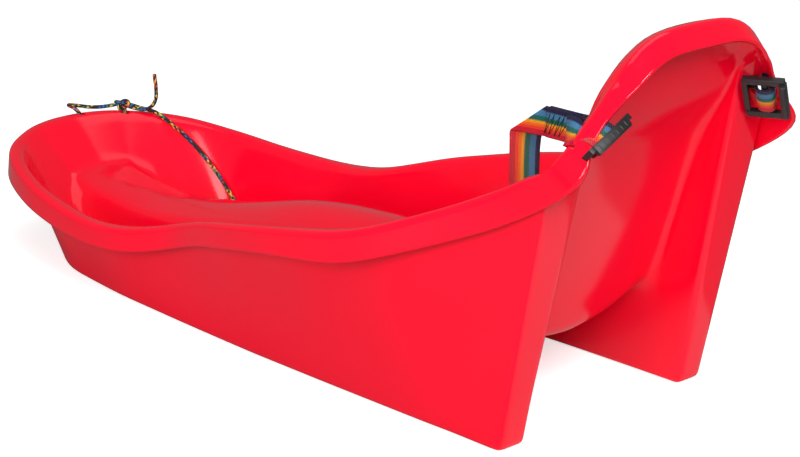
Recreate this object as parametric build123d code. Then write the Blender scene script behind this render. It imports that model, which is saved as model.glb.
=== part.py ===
"""Plastic child's sled: a single moulded hull with a high backrest, a belt
of webbing on two ladder-lock sliders, and a braided tow rope.

Millimetres.  +X is the way it is towed, +Y its left side, +Z up.  Z = 0 is
the ground, Y = 0 the middle of the hull.  Stations along the hull are given
from the heels of the runners and moved into the frame by at().
"""

from build123d import *
import math
import os

os.makedirs("parts", exist_ok=True)

HEEL_X = -333.0          # heels of the runners in the shared frame


def at(station):
    """A station counted forward from the heels, as X in the shared frame."""
    return HEEL_X + station


# ---------------------------------------------------------------- hull lines
WALL = 3.2               # wall of the moulding
REAR_FOOT = -8.4         # rear face of the runners at the ground
REAR_LEAN = 0.213        # how far it leans back for each mm of height
REAR_HALF = 123.4        # half width of the rear at the ground
REAR_SPREAD = 0.018      # and what it gains for each mm of height
HEEL_ROUND = 22.0        # plan radius of the rear corners

# Outer top edge of the rim: (station, half width, height), bow to backrest.
RIM = [
    (773, 0, 104), (766, 40, 103), (750, 74, 100), (728, 99, 97),
    (701, 116, 94), (671, 128, 90), (630, 140, 85), (588, 147, 81),
    (546, 153, 79), (504, 156, 79), (462, 156, 83), (420, 150, 92),
    (380, 148, 105), (336, 156, 119), (260, 170, 137), (185, 176, 152),
    (140, 176, 161), (105, 170, 170), (73, 159, 182), (25, 143, 202),
    (-30, 132, 231), (-58, 129, 248), (-73, 125, 261), (-78, 115, 275),
    (-82, 99, 293), (-86, 84, 311), (-90, 66, 330), (-92.5, 40, 341),
    (-94, 0, 345),
]

# The wall meets the ground on this outline: (station, half width).
FOOT = [
    (665, 0), (663, 30), (656, 62), (645, 85), (628, 104), (600, 116),
    (560, 122), (500, 127), (400, 130), (300, 131), (200, 129), (100, 126),
    (40, 124),
]
# The wall just under the rim, station by station with FOOT: (station, half width, height).
HEAD = [
    (761, 0, 100), (753, 45, 100), (735, 78, 97), (712, 98, 94),
    (675, 116, 89), (630, 129, 84), (575, 138, 80), (504, 145, 78),
    (400, 136, 98), (300, 153, 128), (200, 165, 149), (100, 158, 171),
    (40, 141, 195),
]
WALL_SECTIONS = [0, 45, 95, 150, 210, 280, 370]


def rear_face(z, inset=0.0):
    return REAR_FOOT - REAR_LEAN * z + inset


def wall_outline(z, inset):
    """The tub's plan outline at one height, moved inward by inset."""
    side = []
    for (fs, fy), (hs, hy, hz) in zip(FOOT, HEAD):
        share = z / hz
        side.append((fs + (hs - fs) * share, fy + (hy - fy) * share))
    moved = []
    for i, (s, y) in enumerate(side):
        s0, y0 = side[i - 1] if i else (side[1][0], -side[1][1])
        s1, y1 = side[i + 1] if i + 1 < len(side) else side[i]
        run = math.hypot(s1 - s0, y1 - y0)
        moved.append((s - (y1 - y0) / run * inset, y + (s1 - s0) / run * inset))
    moved[0] = (side[0][0] - inset, 0.0)
    corner = HEEL_ROUND - inset
    rear = rear_face(z, inset)
    lead = moved[-1]
    flank = REAR_HALF + REAR_SPREAD * z - inset
    slope = (lead[1] - flank) / (lead[0] - rear - corner)
    right = [(at(s), -y) for s, y in moved[1:]]
    left = [(at(s), y) for s, y in reversed(moved)]
    start = (at(rear + corner), flank)
    diag = corner * math.sqrt(0.5)
    outline = [
        Spline(*[(s, y, z) for s, y in [start] + left + right + [(start[0], -start[1])]],
               tangents=[(1.0, slope, 0), (-1.0, slope, 0)]),
        ThreePointArc((start[0], -flank, z),
                      (at(rear + corner) - diag, -(flank - corner + diag), z),
                      (at(rear), -(flank - corner), z)),
        Line((at(rear), -(flank - corner), z), (at(rear), flank - corner, z)),
        ThreePointArc((at(rear), flank - corner, z),
                      (at(rear + corner) - diag, flank - corner + diag, z),
                      (start[0], start[1], z)),
    ]
    return make_face(outline)


def tub_body(inset, floor):
    """The tub as a solid: its walls moved in by inset, its floor up by floor."""
    body = loft([wall_outline(z, inset) for z in WALL_SECTIONS])
    if floor > 0:
        body -= Pos(at(300), 0, floor / 2 - 50) * Box(2000, 800, floor + 100)
    return body


# --------------------------------------------------------- slots and holes
SLOT_LONG = 29.0
SLOT_WIDE = 6.0
SLOT_AT = (106.0, 271.0)       # half width and height of the belt slots
SLOT_TILT = math.radians(27.0)
CROTCH_SLOT = (84.0, 60.0)     # station and height of the slot in the seat
ROPE_HOLE = 9.0
ROPE_HOLES = [(765.5, -15, 101), (749, -60, 99)]

# -------------------------------------------------------------------- tunnel
# Space under the hull between the runners, which carries the seat and the
# knee hump: (station, half width at the ground, half width at the shoulder,
# shoulder height, crown height).
TUNNEL = [
    (-150, 94, 91, 92, 53), (-20, 94, 91, 92, 53), (70, 93, 89, 89, 54),
    (130, 91, 86, 87, 62), (175, 88, 80, 86, 80), (215, 84, 72, 88, 98),
    (260, 80, 62, 88, 105), (320, 74, 54, 86, 105), (380, 68, 48, 78, 96),
    (440, 62, 44, 66, 80), (520, 56, 40, 52, 62), (600, 51, 37, 43, 52),
    (680, 48, 34, 42, 50), (790, 48, 34, 42, 50),
]
PANEL_FOOT = (37.0, 50.0)      # rear skin of the back panel, low end: station, height
PANEL_HEAD = (-63.0, 340.0)    # and its high end
RECESS_HALF = (92.0, 79.0)     # half width between the legs, low and high
RECESS_CORNER = 12.0           # plan radius where panel meets leg
RECESS_MOUTH = 7.0             # plan radius of the legs' rear inner edges
MOUTH_CUT = 1.2                # how far that radius stops short of the rear face


def tunnel_body(grow):
    faces = []
    for s, foot, shoulder, high, crown in TUNNEL:
        foot += grow
        shoulder += grow
        high += grow
        crown += grow
        ease = high - (high - crown) * 0.45
        x = at(s)
        sides = Polyline((x, -shoulder, high), (x, -foot, -5), (x, foot, -5), (x, shoulder, high))
        roof = Spline((x, shoulder, high), (x, shoulder * 0.55, ease), (x, 0, crown),
                      (x, -shoulder * 0.55, ease), (x, -shoulder, high))
        faces.append(make_face([sides, roof]))
    return loft(faces)


def recess_outline(z, grow):
    """Plan of the hollow between the legs: rounded at the panel, flared at its mouth."""
    (s0, z0), (s1, z1) = PANEL_FOOT, PANEL_HEAD
    lean = (s1 - s0) / (z1 - z0)
    half = RECESS_HALF[0] + (RECESS_HALF[1] - RECESS_HALF[0]) * (z - z0) / (z1 - z0)
    front = at(s0 + lean * (z - z0) + grow * math.hypot(1.0, lean))
    corner = RECESS_CORNER + grow
    side = half + grow
    mouth = RECESS_MOUTH - grow
    lip = at(rear_face(z)) + RECESS_MOUTH - MOUTH_CUT
    wide = half + RECESS_MOUTH
    back = lip - 80
    diag = math.sqrt(0.5)
    lines = [Line((front, side - corner, z), (front, corner - side, z)),
             Line((back, wide, z), (back, -wide, z))]
    for y in (1, -1):
        bend = (front - corner + corner * diag, y * (side - corner + corner * diag), z)
        flare = (lip - mouth * diag, y * (wide - mouth * diag), z)
        lines += [
            ThreePointArc((front, y * (side - corner), z), bend, (front - corner, y * side, z)),
            Line((front - corner, y * side, z), (lip, y * side, z)),
            ThreePointArc((lip, y * side, z), flare, (lip - mouth, y * wide, z)),
            Line((lip - mouth, y * wide, z), (back, y * wide, z)),
        ]
    return make_face(lines)


def recess_body(grow):
    """The hollow behind the back panel, between the legs."""
    return loft([recess_outline(z, grow) for z in (PANEL_FOOT[1] - 30, PANEL_HEAD[1] + 40)])


# ----------------------------------------------------------------------- rim
def lerp_table(table, value):
    """Straight-line reading of a table of (place, value) rows, falling place."""
    if value >= table[0][0]:
        return table[0][1]
    for (a, va), (b, vb) in zip(table, table[1:]):
        if value >= b:
            return va + (vb - va) * (a - value) / (a - b)
    return table[-1][1]


LAND = [(773, 12), (700, 11), (60, 11), (-30, 6), (-60, 8), (-80, 20), (-94, 21)]
SKIRT = [(773, 24), (600, 23), (400, 22), (200, 23), (150, 28), (110, 25), (60, 26)]
# Behind station 60 the skirt's depth goes with height: a flag at the shoulder,
# narrow beside the slider, deep again over the arch.
SKIRT_REAR = [(345, 21.5), (338, 24), (320, 20), (300, 15), (285, 12), (272, 9), (263, 9),
              (255, 18), (246, 30), (231, 28), (190, 26)]
# Crown of the arch under the land's front edge: (half width, height).
ARCH = [(0, 340), (36, 336.6), (57, 325.7), (72, 308), (87, 290), (103, 272), (113, 259),
        (117, 248), (120, 231)]
ARCH_FROM = -40          # station where the arch's trim starts
ARCH_LOW = 247           # and its height
# Section numbers round one side and the share of the rim they stand at; they
# are closer over the arch.
SECTION_SHARES = [(0, 0.0), (30, 0.375), (48, 0.5)]
BOW_STRETCH = (-6, 6)    # these two cross the middle of the sled
CROWN_STRETCH = (46, 50)
SIDE_STRETCHES = [(6, 12), (12, 18), (18, 24), (24, 30), (30, 36), (36, 41), (41, 46)]


def rim_frame(curve, u):
    """Point, land direction (inward) and skirt direction at u along the rim."""
    p = curve @ u
    t = curve % u
    rise = min(1.0, max(0.0, (p.Z - 225) / 70))
    rise = rise * rise * (3 - 2 * rise)
    flank = min(1.0, max(0.0, (345 - p.Z) / 35))
    plan = Vector(t.X, t.Y, 0).normalized()
    radial = Vector(0, -t.Z, t.Y)
    land = (Vector(-plan.Y, plan.X, 0) + radial * (0.18 + 0.40 * flank) * rise).normalized()
    drop = (Vector(-0.45 - 0.55 * flank, 0, 0) * rise - t.cross(land)
            - land * 0.10 * (1 - rise)).normalized()
    return p, land, drop


def rim_curve():
    pts = [(at(s), y, z) for s, y, z in RIM]
    back = [(x, -y, z) for x, y, z in reversed(pts[1:-1])]
    return Spline(*pts, *back, periodic=True)


def rim_share(number):
    """Share of the whole rim at a section number, which may be past the middle."""
    last = SECTION_SHARES[-1][0]
    if number > last:
        return 1.0 - rim_share(2 * last - number)
    if number < 0:
        return 1.0 - rim_share(-number)
    return -lerp_table([(-n, -share) for n, share in SECTION_SHARES], -number)


def rim_section(curve, number):
    """The lip's L profile: a flat land, and the skirt that hangs from its edge."""
    p, land, drop = rim_frame(curve, rim_share(number))
    station = p.X - HEEL_X
    inner = p + land * (lerp_table(LAND, station) + WALL)
    if station > 60:
        deep = lerp_table(SKIRT, station)
    else:
        deep = lerp_table(SKIRT_REAR, p.Z)
    lower = p + drop * deep
    under = (drop - land * drop.dot(land)).normalized()
    return make_face(Polyline(
        p, inner, inner + under * WALL, p + land * WALL + under * WALL,
        lower + land * WALL, lower, close=True))


def rim_stretch(curve, first, last):
    return loft([rim_section(curve, number) for number in range(first, last + 1)])


def arch_outline(x, drop, floor):
    """Closed rear view of the arch at x, its crown moved down by drop."""
    crown = [(x, y, z - drop) for y, z in ARCH]
    crown = [(x, -y, z) for x, y, z in reversed(crown)] + crown[1:]
    (_, y, z) = crown[-1]
    low = Polyline((x, y, z), (x, y + 8, floor), (x, -y - 8, floor), (x, -y, z))
    return Spline(*crown), low


def above_rim():
    """What the rim cuts away: over the sides, and outside the arch."""
    sheer = [(at(s), 0, z - 1.0) for s, y, z in RIM if s > -60]
    edge = Spline(*sheer)
    lid = Polyline(edge @ 1, (at(-58), 0, 420), (at(1200), 0, 420), (at(1200), 0, 103), edge @ 0)
    sides = extrude(make_face([edge, lid]), 400, (0, 1, 0), both=True)
    sides -= Pos(at(50), 0, 250) * Box(260, 200, 500)
    arch = extrude(make_face(arch_outline(at(ARCH_FROM), 0.0, 150)), 300, (-1, 0, 0))
    block = Pos(at(ARCH_FROM - 150), 0, ARCH_LOW + 190) * Box(300, 600, 380)
    return sides + (block - arch)


def inside_arch(drop):
    """The rear view of the arch, moved inward, as a body the recess stays in."""
    return extrude(make_face(arch_outline(at(100), drop, -20)), 400, (-1, 0, 0))


def slot_frame(side):
    """Plane of a belt slot: x along the slot, z out through the rear wall."""
    return Plane(origin=(at(rear_face(SLOT_AT[1])), side * SLOT_AT[0], SLOT_AT[1]),
                 x_dir=(0, -side * math.cos(SLOT_TILT), math.sin(SLOT_TILT)),
                 z_dir=(-1, 0, -REAR_LEAN))


def hull():
    recess = recess_body(0.0) & inside_arch(WALL + 1.0)
    outer = tub_body(0.0, 0.0) - above_rim() - tunnel_body(0.0) - recess
    inner = tub_body(WALL, WALL) - tunnel_body(WALL) - recess_body(WALL)
    body = outer - inner
    curve = rim_curve()
    body += rim_stretch(curve, *BOW_STRETCH)
    for first, last in SIDE_STRETCHES:
        side = rim_stretch(curve, first, last)
        body += [side, side.mirror(Plane.XZ)]
    body += rim_stretch(curve, *CROWN_STRETCH)
    for side in (1, -1):
        body -= slot_frame(side) * Box(SLOT_LONG, SLOT_WIDE, 24)
    for s, y, z in ROPE_HOLES:
        body -= Pos(at(s), y, z) * Cylinder(ROPE_HOLE / 2, 30)
    body -= Pos(at(CROTCH_SLOT[0]), 0, CROTCH_SLOT[1]) * Box(SLOT_WIDE, SLOT_LONG, 30)
    return body.solids().sort_by(SortBy.VOLUME)[-1]     # without the chips a slot leaves


# ------------------------------------------------------------------ webbing
WEB_WIDE = 25.4
WEB_THICK = 1.6
LAYER = WEB_THICK + 0.1        # pitch of layers that lie on each other


def band(edges):
    """A strap through pairs of edge points: (one edge, other edge) in order."""
    middles = [(Vector(*a) + Vector(*b)) * 0.5 for a, b in edges]
    faces = []
    for i, (a, b) in enumerate(edges):
        ahead = middles[min(i + 1, len(edges) - 1)] - middles[max(i - 1, 0)]
        a = Vector(*a)
        b = Vector(*b)
        thick = ahead.cross(b - a).normalized() * (WEB_THICK / 2)
        faces.append(make_face(Polyline(a - thick, b - thick, b + thick, a + thick, close=True)))
    return loft(faces)


def strap(rows):
    """A full-width strap through rows of (middle point, direction of its width)."""
    edges = []
    for middle, width in rows:
        half = Vector(*width).normalized() * (WEB_WIDE / 2)
        middle = Vector(at(middle[0]), *middle[1:])
        edges.append((middle - half, middle + half))
    return band(edges)


# ------------------------------------------------------------------ sliders
SLIDER_AT = (-87.6, 99.4, 268.6)
SLIDER_LONG_DIR = (0, -0.891, 0.454)
SLIDER_SHORT_DIR = (-0.75, 0.30, 0.59)
SLIDER_LONG = 46.5
SLIDER_SHORT = 37.0
SLIDER_THICK = 4.4
WINDOW_LONG = 29.0
WINDOW_SHORT = 9.0
BAR_PITCH = 15.5               # middle bar to either outer bar
LIP_LONG = 38.0
LIP_THICK = 4.0
LIP_HIGH = 5.0


def slider_plane():
    long_dir = Vector(*SLIDER_LONG_DIR)
    short_dir = Vector(*SLIDER_SHORT_DIR)
    return Plane(origin=(at(SLIDER_AT[0]), *SLIDER_AT[1:]), x_dir=long_dir,
                 z_dir=long_dir.cross(short_dir))


def slider():
    """Ladder-lock: a frame with three bars and a raised lip to pull it by."""
    frame = RectangleRounded(SLIDER_LONG, SLIDER_SHORT, 5)
    for side in (1, -1):
        frame -= Pos(0, side * BAR_PITCH / 2) * RectangleRounded(WINDOW_LONG, WINDOW_SHORT, 1.5)
    body = extrude(frame, SLIDER_THICK / 2, both=True)
    lip = Pos(0, SLIDER_SHORT / 2 - LIP_THICK / 2, SLIDER_THICK / 2) * Box(
        LIP_LONG, LIP_THICK, LIP_HIGH * 2)
    lip = fillet(lip.edges().filter_by(Axis.Y), 3)
    return slider_plane() * (body + lip)


# Strap round the slider's middle bar: (along the short axis, out of the plane),
# from the end sewn down near the slot, round the bar and back to the slot.
BAR_WRAP = [(-4.6, -15.0), (1.5, -11.5), (5.6, -7.0), (7.2, -2.0), (6.2, 2.4), (3.2, 3.9),
            (0.0, 4.2), (-3.2, 3.9), (-6.2, 2.4), (-7.4, -2.0), (-8.2, -8.0), (-10.6, -14.0)]
LAP_END = 62.0                 # station where the lap halves end on the crotch strap
BELT_Z = 237.0                 # middle of the webbing where the halves meet
# From the slot to the middle: (station, half width, height), then the width's
# turn from the slot's tilt (0) to upright (1).
LAP_PATH = [
    (-66, 106, 271, 0.0), (-58, 105, 269.5, 0.0), (-42, 98, 266.5, 0.15), (-24, 85, 261, 0.45),
    (-12, 62, 253, 0.7), (0, 34, 244.5, 0.9), (9.5, 13, 238.5, 1.0), (15, 5.2, 237.2, 1.0),
    (22, 2.7, 237, 1.0), (35, 2.6, 237, 1.0), (48, 2.6, 237, 1.0), (LAP_END, 2.6, 237, 1.0),
]


def lap_belt():
    plane = slider_plane()
    rows = []
    for along, out in BAR_WRAP:
        point = plane.from_local_coords(Vector(0, along, out))
        rows.append(((point.X - HEEL_X, point.Y, point.Z), SLIDER_LONG_DIR))
    for s, y, z, turn in LAP_PATH:
        tilt = SLOT_TILT + (math.pi / 2 - SLOT_TILT) * turn
        rows.append(((s, y, z), (0, -math.cos(tilt), math.sin(tilt))))
    return strap(rows)


FOLD_TOP = (64.0, 0.0, 249.7)       # ends of the 45-degree fold of the crotch strap
FOLD_LOW = (97.5, 9.4, 224.3)
DROP_EDGES = ((80.4, -9.4), (97.6, 9.4))    # plan of the strap where it hangs
STOP_LOW = 42.0                     # under side of the sewn stop below the seat
STOP_THICK = 9.0


def crotch_strap():
    """Sewn between the lap halves, folded over at 45 degrees, down to the seat."""
    low = BELT_Z - WEB_WIDE / 2
    high = BELT_Z + WEB_WIDE / 2
    top = Vector(at(FOLD_TOP[0]), *FOLD_TOP[1:])
    end = Vector(at(FOLD_LOW[0]), *FOLD_LOW[1:])

    def along(share):
        return top + (end - top) * share

    sewn = [((at(s), 0, high), (at(s), 0, low)) for s in (26, 44, 62)]
    for share in (0.3, 0.6, 0.97):
        fold = along(share)
        sewn.append((fold, (fold.X, fold.Y, low - 0.3)))
    far, near = DROP_EDGES
    side = Vector(0.27, -0.96, 0) * LAYER
    drop = []
    for share, shift in ((0.04, 0.02), (0.35, 0.33), (0.7, 0.7)):
        fold = along(share)
        outer = Vector(at(FOLD_TOP[0] + (far[0] - FOLD_TOP[0]) * shift), far[1] * shift, fold.Z)
        drop.append((outer + side, fold + side * (1 - share)))
    for z, turn in ((222, 0.0), (190, 0.0), (150, 0.0), (110, 0.35), (80, 0.85), (66, 1.0),
                    (STOP_LOW, 1.0)):
        middle = Vector((far[0] + near[0]) / 2 * (1 - turn) + CROTCH_SLOT[0] * turn, 0, z)
        angle = math.atan2(near[1] - far[1], near[0] - far[0])
        angle += (math.pi / 2 - angle) * turn
        half = Vector(math.cos(angle), math.sin(angle), 0) * (WEB_WIDE / 2)
        middle = Vector(at(middle.X), middle.Y, middle.Z)
        drop.append((middle - half, middle + half))
    stop = Pos(at(CROTCH_SLOT[0]), 0, STOP_LOW + 3.5) * Box(STOP_THICK, WEB_WIDE, 7)
    stop = fillet(stop.edges().filter_by(Axis.Y), 3)
    return band(sewn) + band(drop) + stop


# --------------------------------------------------------------------- rope
ROPE = 4.2
KNOT_AT = (755.0, -62.0, 109.0)
KNOT_ACROSS = 14.0
KNOT_LONG = 19.0
KNOT_DIR = (0.62, 0.76, 0.08)       # the way the rope runs through the knot


def tube(points, name):
    """Straight runs joined by tangent arcs, as large as the runs allow."""
    pts = [Vector(at(s), y, z) for s, y, z in points]
    radii = []
    for before, here, after in zip(pts, pts[1:], pts[2:]):
        run = min((here - before).length, (after - here).length)
        turn = math.radians((here - before).get_angle(after - here))
        radii.append(0.45 * run / math.tan(turn / 2))
    path = FilletPolyline(*pts, radius=radii)
    body = sweep(Plane(origin=path @ 0, z_dir=path % 0) * Circle(ROPE / 2), path=path)
    print(name, "length", round(path.length, 1), "radii", [round(r) for r in radii],
          "volume share", round(body.volume / (path.length * math.pi * ROPE ** 2 / 4), 3))
    return body


# Routes as (station, side, height), from the knot outward.
STANDING = [
    (749.5, -68.5, 107.5), (742, -76, 104), (733, -80, 103), (723, -84, 101),
    (711, -88, 94), (695, -93, 84.5), (678, -98, 72.5), (662, -101.5, 59.5),
    (646, -104, 46), (631, -105.5, 31), (618, -106, 18), (603, -103, 9.5),
    (586, -99, 6.2), (566, -95, 5.6), (546, -95.5, 5.6), (528, -101, 5.6), (512, -111.5, 5.6),
]
TAIL = [
    (750, -66.5, 105.5), (741, -73, 103), (732, -78, 104), (725.5, -81.5, 109.5),
    (722.5, -83, 118), (722, -83, 127.5), (722.6, -82.5, 136), (723, -82, 143),
]
LOOP = [
    (761, -55, 109.5), (768, -44, 108.6), (776.5, -30, 109.2), (783.5, -18, 111.5),
    (786, -9.5, 113), (780.5, -5, 114), (772.5, -9, 112), (766.4, -13.5, 105),
    (764.6, -16.5, 96), (762, -24, 91.5), (757, -37, 90), (752, -49, 90.5), (749.4, -56.5, 93),
    (749, -60, 98), (750.5, -61, 104),
]
COIL_AT = (505.0, -90.0)
COIL_MIDDLE = 46.0                  # across the middle of the turns
COIL_WIDE = 2                       # turns side by side
COIL_HIGH = 3                       # turns on each other


def knot():
    ball = Sphere(KNOT_ACROSS / 2)
    ball = scale(ball, (1, 1, KNOT_LONG / KNOT_ACROSS))
    return Plane(origin=(at(KNOT_AT[0]), *KNOT_AT[1:]), z_dir=KNOT_DIR) * ball


def coil():
    wide = COIL_WIDE * ROPE
    high = COIL_HIGH * ROPE
    section = Plane.XZ * Pos(COIL_MIDDLE / 2, high / 2) * RectangleRounded(wide, high, ROPE / 2.01)
    ring = revolve(section, Axis.Z)
    return Pos(at(COIL_AT[0]), COIL_AT[1], WALL + 0.1) * ring


# -------------------------------------------------------------------- build
PARTS = {
    "hull": hull(),
    "lap_belt_left": lap_belt(),
    "lap_belt_right": lap_belt().mirror(Plane.XZ),
    "crotch_strap": crotch_strap(),
    "slider_left": slider(),
    "slider_right": slider().mirror(Plane.XZ),
    "tow_rope": tube(STANDING, "tow_rope"),
    "tow_rope_tail": tube(TAIL, "tow_rope_tail"),
    "tow_rope_loop": tube(LOOP, "tow_rope_loop"),
    "tow_rope_knot": knot(),
    "tow_rope_coil": coil(),
}
for name, shape in PARTS.items():
    print(name, "valid", shape.is_valid, "solids", len(shape.solids()), "faces", len(shape.faces()),
          "cm3", round(shape.volume / 1000, 1), "box", shape.bounding_box())
    export_step(shape, f"parts/{name}.step")
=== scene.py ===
# %% [markdown]
# # A child's plastic sled
# The sled is one glossy moulded hull with a high backrest, a belt of striped
# webbing on two black ladder-lock sliders, and a braided tow rope knotted
# through the bow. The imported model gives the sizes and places. This script
# builds the piece that is seen for each of its nodes, and the finishes: glossy
# red plastic, woven webbing, black plastic and a braid.

# %% Load the frame
import math

import bmesh
import bpy
from mathutils import Matrix, Vector


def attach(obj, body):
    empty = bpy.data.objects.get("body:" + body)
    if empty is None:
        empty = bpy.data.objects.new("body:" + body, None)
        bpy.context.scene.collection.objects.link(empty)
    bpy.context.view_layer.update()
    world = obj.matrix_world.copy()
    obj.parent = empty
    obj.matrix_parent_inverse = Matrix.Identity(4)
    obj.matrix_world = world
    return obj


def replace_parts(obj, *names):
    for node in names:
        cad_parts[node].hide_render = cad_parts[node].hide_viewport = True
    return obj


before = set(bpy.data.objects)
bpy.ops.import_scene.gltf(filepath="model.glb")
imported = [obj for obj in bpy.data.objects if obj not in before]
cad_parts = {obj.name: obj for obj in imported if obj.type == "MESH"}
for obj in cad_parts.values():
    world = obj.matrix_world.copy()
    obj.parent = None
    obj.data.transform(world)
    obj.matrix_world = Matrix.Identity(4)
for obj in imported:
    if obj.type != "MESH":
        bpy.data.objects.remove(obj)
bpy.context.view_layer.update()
print("nodes:", ", ".join(sorted(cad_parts)))

# %% [markdown]
# ## Units and places
# Lengths are in metres. Along the hull it is easiest to count forward from
# the heels of the runners, so a helper turns such a station into X.

# %% Helpers for places
HEEL_X = -0.333
MM = 0.001


def at(station, side, height):
    """A point given in millimetres from the heels, as a vector in metres."""
    return Vector((HEEL_X + station * MM, side * MM, height * MM))


def link_object(name, data):
    """A new object in the scene."""
    made = bpy.data.objects.new(name, data)
    bpy.context.scene.collection.objects.link(made)
    return made


def shape_object(name, shape):
    """A new object with a bmesh as its mesh; the bmesh is freed."""
    mesh = bpy.data.meshes.new(name)
    shape.to_mesh(mesh)
    shape.free()
    return link_object(name, mesh)


print("heels at x", HEEL_X, "m")

# %% [markdown]
# ## Camera
# The camera stands behind the sled on its left and a little above it, with a
# long lens, so near and far runner differ little in size.

# %% Camera
CAMERA_PLACE = at(-1134.0, 1257.3, 700.4)
CAMERA_LOOK = Vector((0.7031, -0.6420, -0.3057))
CAMERA_LENS = 98.1

camera_data = bpy.data.cameras.new("studio_camera")
camera_data.lens = CAMERA_LENS
camera_data.sensor_width = 36.0
camera_data.clip_end = 50.0
camera = link_object("studio_camera", camera_data)
camera.location = CAMERA_PLACE
camera.rotation_euler = CAMERA_LOOK.to_track_quat("-Z", "Y").to_euler()
bpy.context.scene.camera = camera
print("camera lens:", CAMERA_LENS, "mm")

# %% [markdown]
# ## Lines of the tow rope
# A free rope bends in one smooth line, so each stretch is a spline with the
# route's points as its control points. The routes are in millimetres. They
# are the ones of the part's solids, apart from the start of the loop, which
# lies a few millimetres further out.

# %% Rope routes
ROPE = 4.2 * MM
STANDING = [
    (749.5, -68.5, 107.5), (742, -76, 104), (733, -80, 103), (723, -84, 101),
    (711, -88, 94), (695, -93, 84.5), (678, -98, 72.5), (662, -101.5, 59.5),
    (646, -104, 46), (631, -105.5, 31), (618, -106, 18), (603, -103, 9.5),
    (586, -99, 6.2), (566, -95, 5.6), (546, -95.5, 5.6), (528, -101, 5.6), (512, -111.5, 5.6),
]
TAIL = [
    (750, -66.5, 105.5), (741, -73, 103), (732, -78, 104), (725.5, -81.5, 109.5),
    (722.5, -83, 118), (722, -83, 127.5), (722.6, -82.5, 136), (723, -82, 143),
]
LOOP = [
    (759.5, -57, 108), (767, -45.5, 105.6), (775, -32, 106.2), (781.5, -20.5, 108.8),
    (784, -12.5, 110.5), (779.5, -8, 111.5), (772.5, -10.5, 110), (766.6, -14, 104),
    (764.6, -16.5, 96), (762, -24, 91.5), (757, -37, 90), (752, -49, 90.5), (749.4, -56.5, 93),
    (749, -60, 98), (750.5, -61, 104),
]
print("control points:", len(STANDING), "standing,", len(TAIL), "tail,", len(LOOP), "loop")

# %% [markdown]
# A tow rope is longer than what shows of it. The rest is put away as a coil
# in the foot well: turns of two sizes, side by side, three on each other.

# %% Coil
COIL_AT = (505.0, -90.0)            # station and side of the coil's middle
TURN_POINTS = 16
TURN_RADII = (25.1, 20.8, 20.9, 25.2, 25.0, 20.8)
TURN_HEIGHTS = (5.5, 5.6, 9.7, 9.8, 13.8, 13.7)
LANE_CHANGE = 4                     # the last quarter of a turn leads over to the next one


def coil_turns():
    """Points of the coil, from where the standing part ends."""
    last = len(TURN_RADII) - 1
    start = math.atan2(STANDING[-1][1] - COIL_AT[1], STANDING[-1][0] - COIL_AT[0])
    points = []
    for number in range(1, len(TURN_RADII) * TURN_POINTS + 1):
        turn = min(number // TURN_POINTS, last)
        following = min(turn + 1, last)
        share = max(0.0, (number / TURN_POINTS - turn) * LANE_CHANGE - (LANE_CHANGE - 1))
        radius = TURN_RADII[turn] + (TURN_RADII[following] - TURN_RADII[turn]) * share
        height = TURN_HEIGHTS[turn] + (TURN_HEIGHTS[following] - TURN_HEIGHTS[turn]) * share
        angle = start - number * 2 * math.pi / TURN_POINTS
        points.append((COIL_AT[0] + radius * math.cos(angle),
                       COIL_AT[1] + radius * math.sin(angle), height))
    return points


print("control points of the coil:", len(coil_turns()))

# %% [markdown]
# A round rope is a tube along its line. It is built ring by ring: each ring
# takes over its neighbour's sideways direction, so the braid doesn't twist,
# and the UV map counts turns around the rope and metres along it. The cut
# ends are domed, as heat-sealed ends are.

# %% Spline and tube
def spline_points(route):
    """Points along the NURBS spline that has the route's points as its control points."""
    data = bpy.data.curves.new("route", "CURVE")
    data.dimensions = "3D"
    spline = data.splines.new("NURBS")
    spline.points.add(len(route) - 1)
    for point, place in zip(spline.points, route):
        point.co = (*at(*place), 1.0)
    spline.order_u = 3
    spline.use_endpoint_u = True
    data.resolution_u = 8
    line = link_object("route", data)
    bpy.context.view_layer.update()
    mesh = bpy.data.meshes.new_from_object(line)
    points = [vertex.co.copy() for vertex in mesh.vertices]
    bpy.data.objects.remove(line)
    bpy.data.meshes.remove(mesh)
    return points


ROUND_STEPS = 16
DOME_STEPS = 4
DOME_FLAT = 0.3                     # share of a step that stays flat in the middle of a dome
DOME_LENGTH = 0.6                   # of the radius


def tube_stations(points, radius, closed):
    """One (middle, side, way, radius, metres from the start) for each point of a line."""
    count = len(points)
    ways = []
    for n in range(count):
        before = points[n - 1] if closed or n else points[0]
        after = points[(n + 1) % count] if closed or n + 1 < count else points[-1]
        ways.append((after - before).normalized())
    side = ways[0].orthogonal().normalized()
    stations = []
    travelled = 0.0
    for n, (place, way) in enumerate(zip(points, ways)):
        travelled += (place - points[n - 1]).length if n else 0.0
        side = (side - way * side.dot(way)).normalized()
        stations.append((place, side, way, radius, travelled))
    return stations


def dome(station, sign):
    """Stations beyond an end of a tube, smaller and smaller."""
    place, side, way, radius, along = station
    beyond = []
    for step in range(1, DOME_STEPS + 1):
        turn = step / (DOME_STEPS + DOME_FLAT) * math.pi / 2
        beyond.append((place + way * sign * radius * DOME_LENGTH * math.sin(turn), side, way,
                       radius * math.cos(turn), along + sign * radius * math.sin(turn)))
    return beyond


def quads(shape, uv, rows, counts):
    """Smooth quads between rows of corners; counts holds the UV map's numbers, row by row."""
    for n in range(len(rows) - 1):
        for k in range(len(rows[n]) - 1):
            places = ((n, k), (n, k + 1), (n + 1, k + 1), (n + 1, k))
            face = shape.faces.new([rows[row][column] for row, column in places])
            face.smooth = True
            for loop, (row, column) in zip(face.loops, places):
                loop[uv].uv = counts[row][column]


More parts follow.
